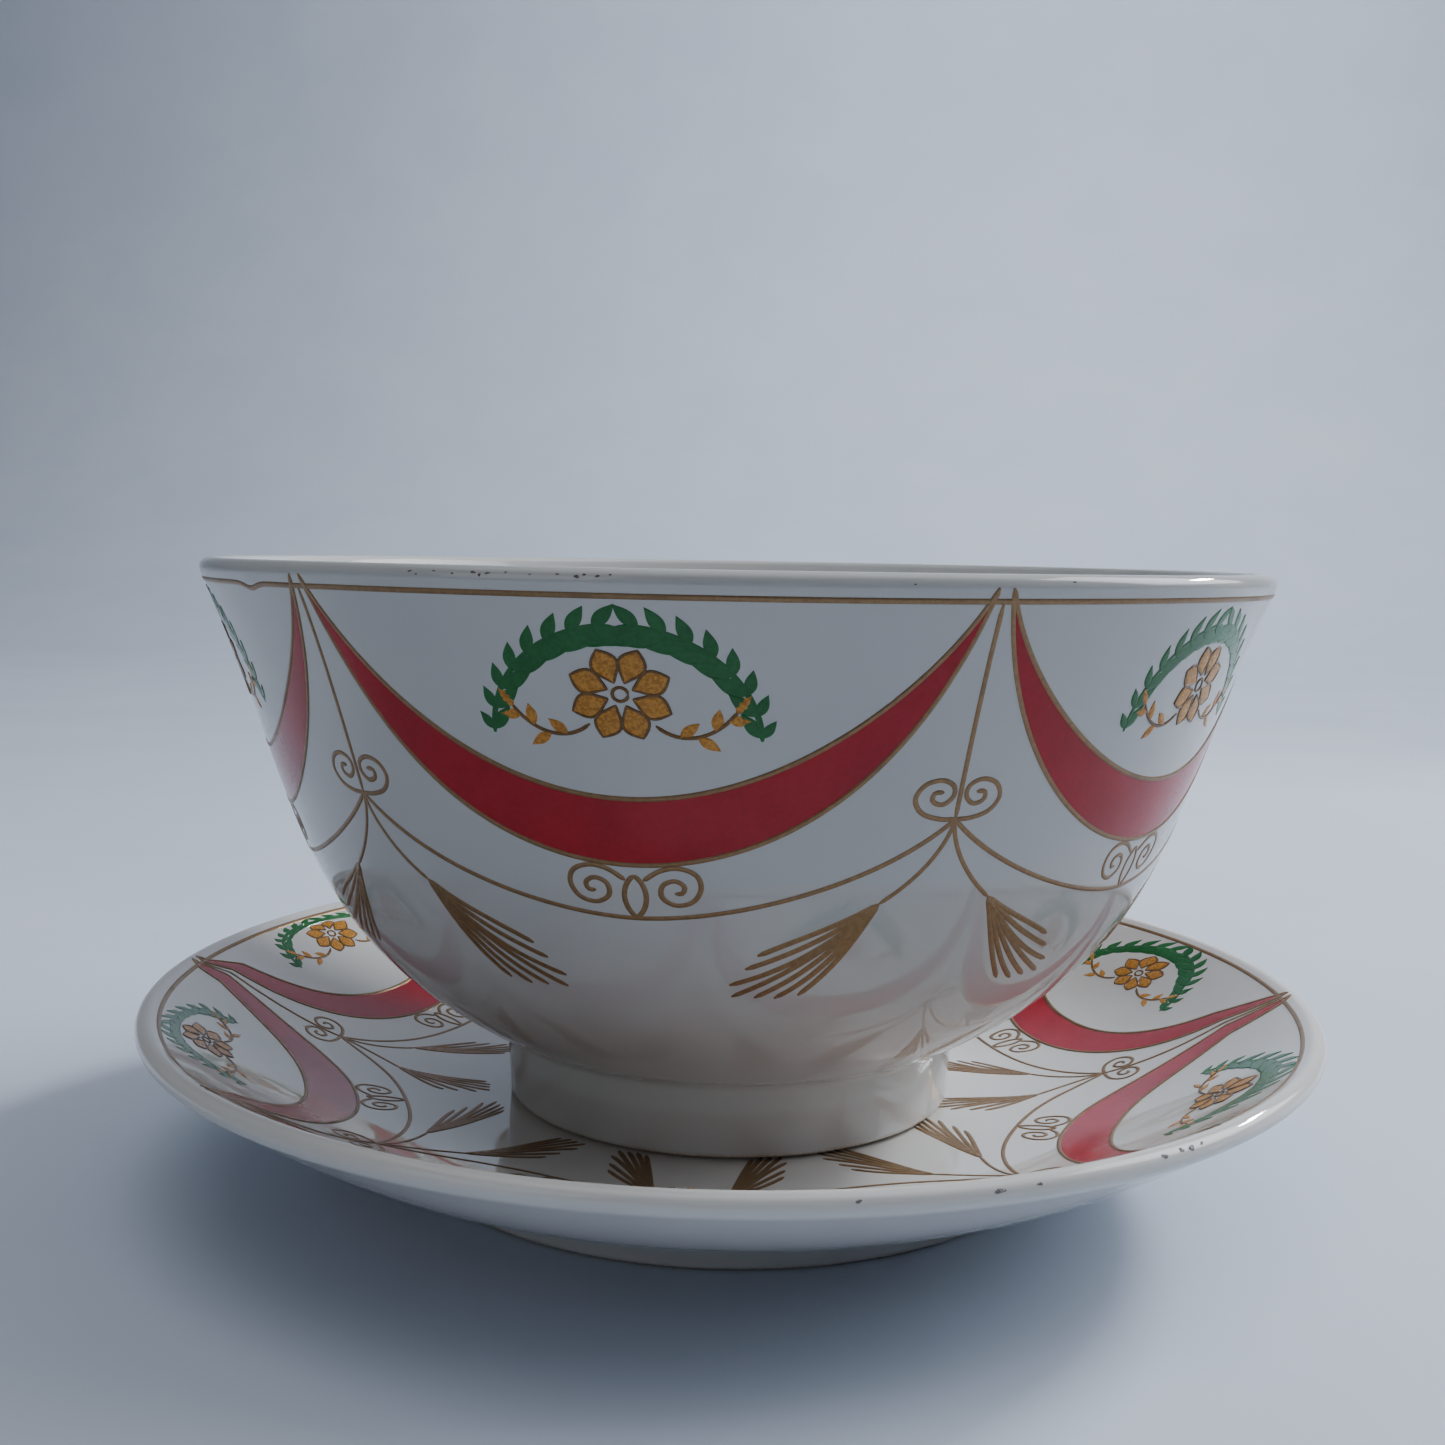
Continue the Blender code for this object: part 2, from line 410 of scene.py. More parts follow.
def bowl_ground():
    lip = arc(BOWL_LIP_CENTRE, BOWL_LIP, 90.0, WALL_ANGLE_AT_LIP - 90.0, LIP_STEPS)
    outline = [*lip[:-1], *bowl_outside()[::-1]]
    return Ground(outline, LIP_STEPS, True, BOWL_SPANS, BOWL_FIRST_MIDDLE)


def saucer_ground():
    lip = arc(SAUCER_LIP_CENTRE, SAUCER_LIP, 0.0, 90.0 + SAUCER_ANGLE_AT_LIP, LIP_STEPS)
    outline = [*lip[:-1], *saucer_dish()[::-1], np.array([0.0, WELL_FLOOR])]
    return Ground(outline, LIP_STEPS, False, SAUCER_SPANS, SAUCER_FIRST_MIDDLE)


grounds = {"bowl": bowl_ground(), "saucer": saucer_ground()}
off_middles = {"bowl": (0.0, 0.0), "saucer": SAUCER_OFF_MIDDLE}
for node, ground in grounds.items():
    print(node, "ground reaches", round(ground.distance[-1], 1), "mm in from the lip")

# %% [markdown]
# ## One strip of enamel
#
# A brush stroke is a band with a rounded back. Each one starts as a grid primitive, and its rows
# are then carried onto the ground: the edges sit on the glaze and the middle stands proud. A
# ribbon is such a strip along a line at a chosen width, and a leaf or a swag is a strip between two
# edges. When all strips of one colour are joined, Solidify gives them a thickness into the glaze.

# %% Lines on the ground, and a strip
LINE_SPACING = 0.5


def smooth(points, steps=8):
    """A curve through a few chosen points."""
    points = np.array(points, float)
    slope = np.gradient(points, axis=0) / 3.0
    stretches = [
        bezier(points[i], points[i] + slope[i], points[i + 1] - slope[i + 1], points[i + 1], steps)[:-1]
        for i in range(len(points) - 1)
    ]
    return np.concatenate([*stretches, points[-1:]])


def even(ground, path, spacing=LINE_SPACING):
    """The same line with its points a set distance apart on the glaze."""
    steps = np.linalg.norm(np.diff(ground.at(path), axis=0), axis=1) / MM
    length = np.concatenate([[0.0], np.cumsum(steps)])
    wanted = np.linspace(0.0, length[-1], max(4, math.ceil(length[-1] / spacing) + 1))
    return np.stack([np.interp(wanted, length, path[:, 0]), np.interp(wanted, length, path[:, 1])], axis=1)


def lay_strip(rows, ground_normal):
    """A grid primitive whose rows of vertices are carried to the given places."""
    middle = len(rows) // 2
    across = rows[middle, -1] - rows[middle, 0]
    along = rows[middle + 1, 0] - rows[middle, 0]
    if np.dot(np.cross(across, along), ground_normal) < 0:
        rows = rows[:, ::-1]
    deselect_all()
    bpy.ops.mesh.primitive_grid_add(x_subdivisions=rows.shape[1] - 1, y_subdivisions=rows.shape[0] - 1)
    strip = bpy.context.object
    strip.data.vertices.foreach_set("co", rows.astype(np.float32).ravel())
    return strip


print("a line has a point every", LINE_SPACING, "mm")

# %% Ribbons and bands
EDGE_RISE = 0.012
BLUNTNESS = 0.45
RIBBON_REACH = np.array([-1.0, -0.55, 0.55, 1.0])[None, :, None]


def ribbon(ground, path, width, rise=0.06, spacing=LINE_SPACING, taper=(0.3, 0.3)):
    """A painted line: width and rise in millimetres, and how far from each end it narrows."""
    path = even(ground, np.asarray(path, float), spacing)
    spine = ground.at(path)
    normal = ground.at(path, 1.0) - spine
    normal /= np.linalg.norm(normal, axis=1)[:, None]
    along = np.gradient(spine, axis=0)
    side = np.cross(along, normal)
    side /= np.linalg.norm(side, axis=1)[:, None]
    travelled = np.concatenate([[0.0], np.cumsum(np.linalg.norm(np.diff(spine, axis=0), axis=1))]) / MM
    left = travelled[-1] - travelled
    narrow = np.clip(travelled / max(taper[0], 1e-6) + BLUNTNESS, 0.0, 1.0)
    narrow = np.minimum(narrow, np.clip(left / max(taper[1], 1e-6) + BLUNTNESS, 0.0, 1.0))
    half = 0.5 * width * MM * narrow[:, None, None]
    crown = np.array([EDGE_RISE, rise, rise, EDGE_RISE])[None, :, None] * MM
    rows = spine[:, None, :] + side[:, None, :] * half * RIBBON_REACH + normal[:, None, :] * crown
    return lay_strip(rows, normal[len(rows) // 2])


def band(ground, one_edge, other_edge, crown):
    """A painted area between two edges with as many points each; crown is the rise across it."""
    share = np.linspace(0.0, 1.0, len(crown))[None, :, None]
    paths = np.asarray(one_edge)[:, None, :] * (1.0 - share) + np.asarray(other_edge)[:, None, :] * share
    rows = ground.at(paths, np.asarray(crown)[None, :])
    middle = paths[len(paths) // 2, len(crown) // 2]
    return lay_strip(rows, ground.at(middle, 1.0) - ground.at(middle))


print("a ribbon has", RIBBON_REACH.size, "points across and edges", EDGE_RISE, "mm proud")

# %% Joining strips and entering a piece


def join_all(parts):
    """Makes one object of several, and leaves it active and selected."""
    deselect_all()
    for part in parts:
        part.select_set(True)
    bpy.context.view_layer.objects.active = parts[0]
    if len(parts) > 1:
        bpy.ops.object.join()
    return bpy.context.object


def enter_piece(piece, name, node):
    """Names a finished piece and gives it its body."""
    piece.name = name
    piece.data.name = name
    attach(piece, node)
    print(name, len(piece.data.polygons), "faces")
    return piece


# %% Repeating a drawing round the vessel
ENAMEL_DEPTH = 0.09 * MM

enamel_pieces = {"gilding": [], "crimson": [], "green": [], "ochre": [], "umber": []}


def repeat_round(piece, repeats):
    made = [piece]
    for _ in range(1, repeats):
        deselect_all()
        made[-1].select_set(True)
        bpy.context.view_layer.objects.active = made[-1]
        bpy.ops.object.duplicate()
        bpy.ops.transform.rotate(value=math.tau / repeats, orient_axis="Z", center_override=(0, 0, 0))
        bpy.ops.object.transform_apply(location=True, rotation=True, scale=True)
        made.append(bpy.context.object)
    return join_all(made)


def finish_enamel(name, strips, node, colour, repeats=None):
    """Joins strips into one piece, repeats it round the vessel, settles it and gives it a thickness."""
    repeats = repeats or len(grounds[node].spans)
    piece = repeat_round(join_all(strips), repeats)
    bpy.ops.object.mode_set(mode="EDIT")
    bpy.ops.mesh.select_all(action="SELECT")
    bpy.ops.mesh.remove_doubles(threshold=0.001 * MM)
    bpy.ops.object.mode_set(mode="OBJECT")
    if repeats > 1:
        grounds[node].settle(piece, off_middles[node])
    wall = piece.modifiers.new("enamel", "SOLIDIFY")
    wall.thickness = ENAMEL_DEPTH
    wall.offset = -1.0
    bpy.ops.object.modifier_apply(modifier=wall.name)
    bpy.ops.object.shade_smooth_by_angle(angle=math.radians(50))
    enamel_pieces[colour].append(piece)
    return enter_piece(piece, name, node)


print("enamel is", round(ENAMEL_DEPTH / MM, 2), "mm thick, in", len(enamel_pieces), "colours")

# %% [markdown]
# ## Swags
#
# A swag of crimson cloth hangs between two posts. Its upper and its lower edge are each one cubic
# curve from the middle to the tip, mirrored to the other side, and both edges carry a gilt outline.
# The tips run together just above the gilt line under the lip. The saucer's swags are fuller.

# %% Paint the swags
POST = 30.0
TIP = (29.35, -0.3)
SWAG_EDGES = {
    "bowl": (
        ((0.0, 18.85), (14.2, 18.85), (26.3, 8.4), TIP),
        ((0.0, 25.1), (12.0, 25.1), (25.95, 17.9), TIP),
    ),
    "saucer": (
        ((0.0, 18.6), (23.0, 18.6), (24.5, 4.0), TIP),
        ((0.0, 24.3), (20.5, 24.3), (29.2, 13.5), TIP),
    ),
}
SWAG_CROWN = np.array([0.012, 0.035, 0.045, 0.05, 0.05, 0.05, 0.045, 0.035, 0.012])
SWAG_STEPS = 44
OUTLINE_WIDTH = 0.46
OUTLINE_RISE = 0.085


def mirrored(half):
    """A line drawn from the middle outwards, with its mirror image in front of it."""
    return np.concatenate([half[:0:-1] * np.array([-1.0, 1.0]), half])


def paint_swags(node, ground):
    top, foot = [mirrored(bezier(*edge, SWAG_STEPS)) for edge in SWAG_EDGES[node]]
    finish_enamel(f"{node}_swags", [band(ground, top, foot, SWAG_CROWN)], node, "crimson")
    outlines = [ribbon(ground, edge, OUTLINE_WIDTH, OUTLINE_RISE) for edge in (top, foot)]
    finish_enamel(f"{node}_swag_outlines", outlines, node, "gilding")


for node, ground in grounds.items():
    paint_swags(node, ground)

# %% [markdown]
# ## Posts, knots and festoons
#
# From the lip a gilt line drops between two swags to a knot of two volutes. A thin festoon hangs
# from knot to knot, and in its middle two scrolls sit on either side of a pointed oval. A volute is
# a curve through the few points where it turns; the second of each pair is its mirror image.

# %% Choose the points of the scrolls
VOLUTE = (
    (0.0, 20.7), (1.5, 20.6), (3.1, 20.0), (3.9, 18.7), (3.3, 17.4), (1.9, 16.95), (0.75, 17.5),
    (0.6, 18.5), (1.4, 19.25), (2.35, 18.9), (2.3, 18.15), (1.5, 18.1),
)
SCROLL = (
    (0.75, 26.6), (2.1, 25.6), (3.6, 25.25), (5.0, 25.8), (5.4, 27.1), (4.7, 28.5), (3.3, 28.95),
    (2.2, 28.2), (2.3, 27.0), (3.3, 26.5), (4.05, 27.0), (3.85, 27.7), (3.25, 27.75),
)
OVAL_SIDE = ((0.0, 26.1), (1.25, 27.2), (1.15, 29.3), (0.0, 30.4))
FESTOONS = {
    "bowl": ((0.0, 30.45), (9.2, 30.45), (23.8, 26.5), (30.0, 20.7)),
    "saucer": ((0.0, 29.75), (15.0, 29.75), (24.5, 26.5), (30.0, 20.7)),
}
print("a volute of", len(VOLUTE), "points and a scroll of", len(SCROLL))

# %% Paint the lines
LINE_WIDTH = 0.46
DROP_LINE = ((POST, 0.9), (POST, 20.9))
OVAL_STEPS = 24


def both_sides(ground, meridian, shape):
    """A shape drawn beside a meridian and its mirror image across it."""
    shape = np.array(shape)
    return [ground.around(meridian, shape), ground.around(meridian, shape * np.array([-1.0, 1.0]))]


def paint_lines(node, ground):
    knots = [ribbon(ground, DROP_LINE, LINE_WIDTH, 0.07, 1.2)]
    for path in both_sides(ground, POST, smooth(VOLUTE)):
        knots.append(ribbon(ground, path, LINE_WIDTH, 0.06, 0.3))
    finish_enamel(f"{node}_knots", knots, node, "gilding")

    line = bezier(*FESTOONS[node])
    festoon = [ribbon(ground, mirrored(line), LINE_WIDTH, 0.06, 0.8)]
    for shape in (smooth(SCROLL), bezier(*OVAL_SIDE, OVAL_STEPS)):
        shape = shape + np.array([0.0, line[0][1] - FESTOONS["bowl"][0][1]])
        for path in both_sides(ground, 0.0, shape):
            festoon.append(ribbon(ground, path, LINE_WIDTH, 0.06, 0.3))
    finish_enamel(f"{node}_festoons", festoon, node, "gilding")


for node, ground in grounds.items():
    paint_lines(node, ground)

# %% [markdown]
# ## Tassels
#
# Two tassels fall from each knot and lean apart. A stem curves away from the knot to a fork, and
# seven strands fan out of the fork: they start close together, so they look like one thick rib, and
# then bend outwards one after another. Each row below is a strand's end and its two directions.

# %% Paint the tassels
STEM = ((0.0, 20.7), (0.2, 23.4), (2.4, 26.6), (5.2, 28.8))
STRANDS = (
    # end across, end down, direction at the fork, direction at the end
    (14.2, 34.2, 36.0, 33.0),
    (14.9, 35.8, 44.0, 28.0),
    (15.8, 37.8, 52.0, 25.0),
    (15.3, 39.3, 54.0, 37.0),
    (13.4, 39.4, 58.0, 40.0),
    (11.7, 39.5, 63.0, 45.0),
    (9.8, 39.1, 70.0, 57.0),
)
STEM_WIDTH = 0.42
STRAND_WIDTH = 0.56
STRAND_PULLS = (0.38, 0.36)
STRAND_STEPS = 20


def strand(end_across, end_down, leaving, arriving):
    fork = np.array(STEM[-1])
    end = np.array([end_across, end_down])
    span = np.linalg.norm(end - fork)
    first = fork + STRAND_PULLS[0] * span * heading(leaving)
    return bezier(fork, first, end - STRAND_PULLS[1] * span * heading(arriving), end, STRAND_STEPS)


def paint_tassels(node, ground):
    strips = []
    for path in both_sides(ground, POST, bezier(*STEM)):
        strips.append(ribbon(ground, path, STEM_WIDTH))
    for row in STRANDS:
        for path in both_sides(ground, POST, strand(*row)):
            strips.append(ribbon(ground, path, STRAND_WIDTH, 0.06, 0.6, (0.1, 0.1)))
    finish_enamel(f"{node}_tassels", strips, node, "gilding")


for node, ground in grounds.items():
    paint_tassels(node, ground)

# %% [markdown]
# ## Wreath and blossom
#
# Under each swag's opening stands a half wreath of green leaves round a golden blossom. Pairs of
# leaves climb an elliptical stem from both ends and meet at the top. A leaf is a strip between two
# bowed edges, and its crown dips in the middle, which gives it a midrib. The blossom has eight
# petals with a thin outline each, and a sprig of small leaves on either side.

# %% Draw a leaf and the wreath's stem
WREATH_FLATNESS = {"bowl": (1.0, 0.0), "saucer": (0.8, -0.4)}
ARCH_FOOT = 13.3
ARCH_WIDTH = 10.7
ARCH_HEIGHT = 9.9
ARCH_STEM_WIDTH = 0.5
LEAF_PAIRS = 8
LEAF_LENGTHS = (2.3, 1.5)
LEAF_FATNESS = 0.44
OUTER_LEAF = (-34.0, 1.0)
INNER_LEAF = (38.0, 0.72)
LEAF_CROWN = np.array([0.012, 0.05, 0.065, 0.04, 0.065, 0.05, 0.012])


def on_arch(share):
    """A place on the wreath's stem, from its foot at 0 to its top at 1, and the direction of growth."""
    angle = math.radians(90.0 * share)
    place = np.array([ARCH_WIDTH * math.cos(angle), ARCH_FOOT - ARCH_HEIGHT * math.sin(angle)])
    growth = np.array([-ARCH_WIDTH * math.sin(angle), -ARCH_HEIGHT * math.cos(angle)])
    return place, growth / np.linalg.norm(growth)


def under_swag(node, shape, mirror=1.0):
    """A shape of the wreath or the blossom on a vessel; on the saucer they are a little flatter."""
    scale, move = WREATH_FLATNESS[node]
    return grounds[node].around(0.0, np.asarray(shape) * np.array([mirror, scale]) + np.array([0.0, move]))


def turned_by(direction, angle):
    cos, sin = math.cos(math.radians(angle)), math.sin(math.radians(angle))
    return np.array([cos * direction[0] - sin * direction[1], sin * direction[0] + cos * direction[1]])


def leaf_edges(root, direction, length, width, fullest=0.8, steps=10):
    """The two edges of a leaf or petal, from its root to its point."""
    t = np.linspace(0.0, 1.0, steps + 1)[:, None]
    half = 0.5 * width * np.sin(math.pi * t**fullest)
    side = turned_by(direction, 90.0)
    spine = root + length * t * direction
    return spine - half * side, spine + half * side


print("a wreath has", 4 * LEAF_PAIRS, "leaves")

# %% Paint the wreaths


def paint_wreath(node, ground):
    strips = []
    stem = np.array([on_arch(share)[0] for share in np.linspace(0.0, 0.97, 24)])
    for mirror in (1.0, -1.0):
        strips.append(ribbon(ground, under_swag(node, stem, mirror), ARCH_STEM_WIDTH, 0.05))
    for i in range(LEAF_PAIRS):
        share = (i + 0.15) / LEAF_PAIRS
        root, growth = on_arch(share)
        length = LEAF_LENGTHS[0] + LEAF_LENGTHS[1] * math.sin(0.5 * math.pi * min(1.0, share + 0.15))
        for turn, share_of_length in (OUTER_LEAF, INNER_LEAF):
            leaf_length = share_of_length * length
            edges = leaf_edges(root, turned_by(growth, turn), leaf_length, LEAF_FATNESS * leaf_length)
            for mirror in (1.0, -1.0):
                flat = [under_swag(node, edge, mirror) for edge in edges]
                strips.append(band(ground, *flat, LEAF_CROWN))
    finish_enamel(f"{node}_wreath_leaves", strips, node, "green")


# %% Paint the blossoms
BLOSSOM = np.array([0.0, 9.4])
PETALS = 8
PETAL_START = 1.05
PETAL_LENGTH = 3.1
PETAL_WIDTH = 2.15
PETAL_CROWN = np.array([0.012, 0.055, 0.07, 0.075, 0.07, 0.055, 0.012])
PETAL_LINE_WIDTH = 0.26
HEART_RADIUS = 0.62
HEART_LINE_WIDTH = 0.3
SPRIG = ((2.6, 12.1), (4.4, 13.9), (7.2, 13.3), (9.0, 10.6))
SPRIG_STEPS = 30
SPRIG_WIDTH = 0.34
SPRIG_LEAF_WIDTH = 0.95
# share of the sprig's length, degrees off its direction, length in millimetres
SPRIG_LEAVES = ((0.3, -50.0, 2.0), (0.5, 48.0, 2.1), (0.7, -46.0, 2.0), (0.86, 44.0, 1.7), (0.97, 0.0, 2.0))


def paint_blossom(node, ground):
    petals = []
    outlines = []
    for i in range(PETALS):
        direction = heading(360.0 * (i + 0.5) / PETALS)
        root = BLOSSOM + PETAL_START * direction
        edges = leaf_edges(root, direction, PETAL_LENGTH, PETAL_WIDTH, 1.25)
        flat = [under_swag(node, edge) for edge in edges]
        petals.append(band(ground, *flat, PETAL_CROWN))
        rim = np.concatenate([flat[0], flat[1][-2::-1]])
        outlines.append(ribbon(ground, rim, PETAL_LINE_WIDTH, OUTLINE_RISE, 0.3))
    turn = np.linspace(0.0, 360.0, 25)
    heart = BLOSSOM + HEART_RADIUS * np.array([heading(angle) for angle in turn])
    outlines.append(ribbon(ground, under_swag(node, heart), HEART_LINE_WIDTH, OUTLINE_RISE, 0.25))

    sprig = bezier(*SPRIG, SPRIG_STEPS)
    slope = np.gradient(sprig, axis=0)
    for mirror in (1.0, -1.0):
        outlines.append(ribbon(ground, under_swag(node, sprig, mirror), SPRIG_WIDTH, 0.07))
    for share, turn, length in SPRIG_LEAVES:
        index = round(share * SPRIG_STEPS)
        direction = turned_by(slope[index] / np.linalg.norm(slope[index]), turn)
        edges = leaf_edges(sprig[index], direction, length, SPRIG_LEAF_WIDTH, 0.85)
        for mirror in (1.0, -1.0):
            flat = [under_swag(node, edge, mirror) for edge in edges]
            petals.append(band(ground, *flat, PETAL_CROWN))
    finish_enamel(f"{node}_blossoms", petals, node, "ochre")
    finish_enamel(f"{node}_blossom_outlines", outlines, node, "umber")


for node, ground in grounds.items():
    paint_wreath(node, ground)
    paint_blossom(node, ground)

# %% [markdown]
# ## The gilt line under the lip
#
# The line is drawn with a brush held still against the turning vessel, so it closes on itself. It
# wanders a few hundredths, and near one post of the bowl the brush slipped and left a small dip.

# %% Paint the gilt lines
RIM_LINE = 0.85
RIM_LINE_WIDTH = 0.52
SLIP_ANGLE = -40.5
SLIP_DEPTH = 0.5
SLIP_WIDTH = 1.6
RIM_STEPS = 720


def paint_rim_line(node, ground):
    angle = np.linspace(-180.0, 180.0, RIM_STEPS + 1)
    wander = 0.03 * np.sin(np.radians(2 * angle + 40)) + 0.02 * np.sin(np.radians(5 * angle))
    depth = RIM_LINE + wander
    if node == "bowl":
        depth += SLIP_DEPTH * np.exp(-(((angle - SLIP_ANGLE) / SLIP_WIDTH) ** 2))
    path = np.stack([angle / ground.squeeze, depth], axis=1)
    strip = ribbon(ground, path, RIM_LINE_WIDTH, 0.07, 0.7, (0.0, 0.0))
    finish_enamel(f"{node}_rim_line", [strip], node, "gilding", repeats=1)


for node, ground in grounds.items():
    paint_rim_line(node, ground)

# %% [markdown]
# ## Wear along the lips
#
# An old bowl shows small wear that glaze never heals: pinholes along the lip where grit has lodged,
# and chips on the saucer's outer edge where the darker body looks through. They could be painted in
# the glaze's colour. Each has its own place and an uneven edge, so each is a flattened ball that is
# laid on the lip instead.

# %% Choose where the lips are worn
# degrees round the vessel, degrees up the lip's own round, width and height in millimetres
BOWL_PINHOLES = (
    (-117.6, 24.0, 0.42, 0.16), (-116.9, 10.0, 0.20, 0.14), (-115.2, 28.0, 0.30, 0.12),
    (-113.4, 18.0, 0.24, 0.16), (-111.5, 26.0, 0.55, 0.20), (-110.9, 14.0, 0.32, 0.22),
    (-110.2, 23.0, 0.50, 0.16), (-108.6, 30.0, 0.22, 0.12), (-106.5, 21.0, 0.20, 0.14),
    (-104.2, 26.0, 0.30, 0.13), (-102.6, 16.0, 0.50, 0.24), (-102.0, 26.0, 0.34, 0.16),
    (-100.9, 20.0, 0.40, 0.20), (-99.9, 28.0, 0.22, 0.14), (-76.0, 6.0, 0.20, 0.14),
    (-61.5, 24.0, 0.26, 0.14), (24.0, 16.0, 0.30, 0.16), (26.5, 26.0, 0.22, 0.14),
    (131.0, 12.0, 0.34, 0.18), (172.0, 22.0, 0.24, 0.14),
)
SAUCER_CHIPS = (
    (-81.0, 29.0, 0.50, 0.30), (-70.7, 25.0, 0.90, 0.42), (-67.5, 31.0, 0.50, 0.30),
    (-55.9, 37.0, 0.70, 0.40), (-54.0, 43.0, 0.60, 0.36), (-52.9, 39.0, 0.85, 0.40),
    (-51.6, 45.0, 0.40, 0.26), (37.0, 32.0, 0.60, 0.36), (118.0, 37.0, 0.70, 0.36),
    (121.0, 31.0, 0.40, 0.26),
)
print(len(BOWL_PINHOLES), "pinholes and", len(SAUCER_CHIPS), "chips")

# %% Lay the pinholes and chips
SPOT_DEPTH = 0.05 * MM
LIPS = {"bowl": (BOWL_LIP, BOWL_LIP_CENTRE), "saucer": (SAUCER_LIP, SAUCER_LIP_CENTRE)}


def lay_spot(node, turn, climb, width, height, shape):
    """A flattened ball on the round of a lip; its outline is uneven, and shape chooses which."""
    lip_radius, centre = LIPS[node]
    rim_radius = centre[0] + lip_radius
    foot = centre + lip_radius * heading(climb)
    deselect_all()
    bpy.ops.mesh.primitive_uv_sphere_add(segments=16, ring_count=8, radius=1.0)
    spot = bpy.context.object
    cos, sin = heading(turn)
    for vertex in spot.data.vertices:
        around = math.atan2(vertex.co.z, vertex.co.y)
        uneven = 1.0 + 0.22 * math.sin(2 * around + shape) + 0.14 * math.sin(3 * around + 2.3 * shape)
        across = vertex.co.y * uneven * 0.5 * width * MM
        upright = vertex.co.z * uneven * 0.5 * height * MM
        bulge = vertex.co.x * SPOT_DEPTH - 0.5 * (across**2 / rim_radius + upright**2 / lip_radius)
        out, up = foot + bulge * heading(climb) + upright * heading(climb + 90.0)
        vertex.co = (cos * out - sin * across, sin * out + cos * across, up)
    return spot


def lay_spots(name, node, rows):
    piece = join_all([lay_spot(node, *row, shape) for shape, row in enumerate(rows)])
    bpy.ops.object.shade_smooth()
    return enter_piece(piece, name, node)


bowl_pinholes = lay_spots("bowl_lip_pinholes", "bowl", BOWL_PINHOLES)
saucer_chips = lay_spots("saucer_lip_chips", "saucer", SAUCER_CHIPS)

# %% [markdown]
# ## Shader arithmetic
#
# Glaze and enamel are painted with numbers that change over the surface. A wire is one output of a
# node, and Python's own operators on wires add the Math nodes, so a recipe reads as a formula. Any
# other node is added by one method, and colours always go through a Mix node.

# %% A wire


class Wire:
    """One output of a node. Arithmetic on wires and numbers adds Math nodes to the same material."""

    def __init__(self, tree, socket):
        self.tree = tree
        self.socket = socket

    def node(self, kind, settings=None, inputs=None, output=0):
        """Adds a node of any kind, sets it up, joins or fills its inputs and returns one output."""
        made = self.tree.nodes.new(kind)
        for name, value in (settings or {}).items():
            setattr(made, name, value)
        for name, value in (inputs or {}).items():
            if isinstance(value, Wire):
                self.tree.links.new(value.socket, made.inputs[name])
            else:
                made.inputs[name].default_value = value
        return Wire(self.tree, made.outputs[output])

    def math(self, operation, *values):
        return self.node("ShaderNodeMath", {"operation": operation}, dict(enumerate(values)))

    def __add__(self, other):
        return self.math("ADD", self, other)

    def __sub__(self, other):
        return self.math("SUBTRACT", self, other)

    def __rsub__(self, other):
        return self.math("SUBTRACT", other, self)

    def __mul__(self, other):
        return self.math("MULTIPLY", self, other)

    def __pow__(self, other):
        return self.math("POWER", self, other)

    __radd__ = __add__
    __rmul__ = __mul__

    def ramp(self, low, high):
        """0 below low, 1 above high and smooth in between; the other way round if high is less."""
        inputs = {"Value": self, "From Min": low, "From Max": high}
        return self.node("ShaderNodeMapRange", {"interpolation_type": "SMOOTHSTEP"}, inputs)

    def noise(self, size, detail=3.0, roughness=0.55):
        """Soft noise between 0 and 1 with features of about the given size in metres."""
        inputs = {"Vector": self, "Scale": 1.0 / size, "Detail": detail, "Roughness": roughness}
        return self.node("ShaderNodeTexNoise", None, inputs)

    def mix(self, start, end):
        """The colour at this wire's share of the way from one colour to another."""
        return self.node("ShaderNodeMix", {"data_type": "RGBA"}, {0: self, 6: start, 7: end}, output=2)


# %% The two ends of a recipe


def new_material(name):
    """An empty material and the wire of its object's own coordinates, which are the frame's."""
    material = bpy.data.materials.new(name)
    material.use_nodes = True
    tree = material.node_tree
    tree.nodes.clear()
    coordinates = tree.nodes.new("ShaderNodeTexCoord")
    return material, Wire(tree, coordinates.outputs["Object"])


def finish_material(place, inputs):
    shader = place.node("ShaderNodeBsdfPrincipled", None, inputs)
    end = place.tree.nodes.new("ShaderNodeOutputMaterial")
    place.tree.links.new(shader.socket, end.inputs["Surface"])


def axis_values(place):
    """Distance from the vessels' axis and height above the floor, as wires."""
    split = place.node("ShaderNodeSeparateXYZ", None, {"Vector": place})
    nodes = split.socket.node
    x, y, z = (Wire(place.tree, nodes.outputs[name]) for name in "XYZ")
    return (x * x + y * y) ** 0.5, z


# %% [markdown]
# ## Glaze
#
# Porcelain glaze is nearly white and very smooth, and what makes it look fired is small: clouds in
# the tint, a cooler tone where the glaze pools above the foot, an orange-peel ripple, a rare speck
# of iron and a faint smudge in the gloss. The ring that the vessel stood on in the kiln is wiped
# bare, so it shows the rougher, warmer body. A picture could hold all this, but a formula of the
# place on the piece is as sharp from near as from far. The two vessels wear one glaze, but the
# bowl's is mixed greyer than the saucer's: that is painted shade for its near side, which lies in a
# mild shade.

# %% Mix the glazes
GLAZE_IOR = 1.56
POOLED_TINT = (0.60, 0.66, 0.66, 1.0)
IRON_SPECK = (0.22, 0.17, 0.12, 1.0)
BARE_CLAY = ((0.66, 0.60, 0.52, 1.0), (0.47, 0.41, 0.35, 1.0))
BARE_ROUGHNESS = 0.72


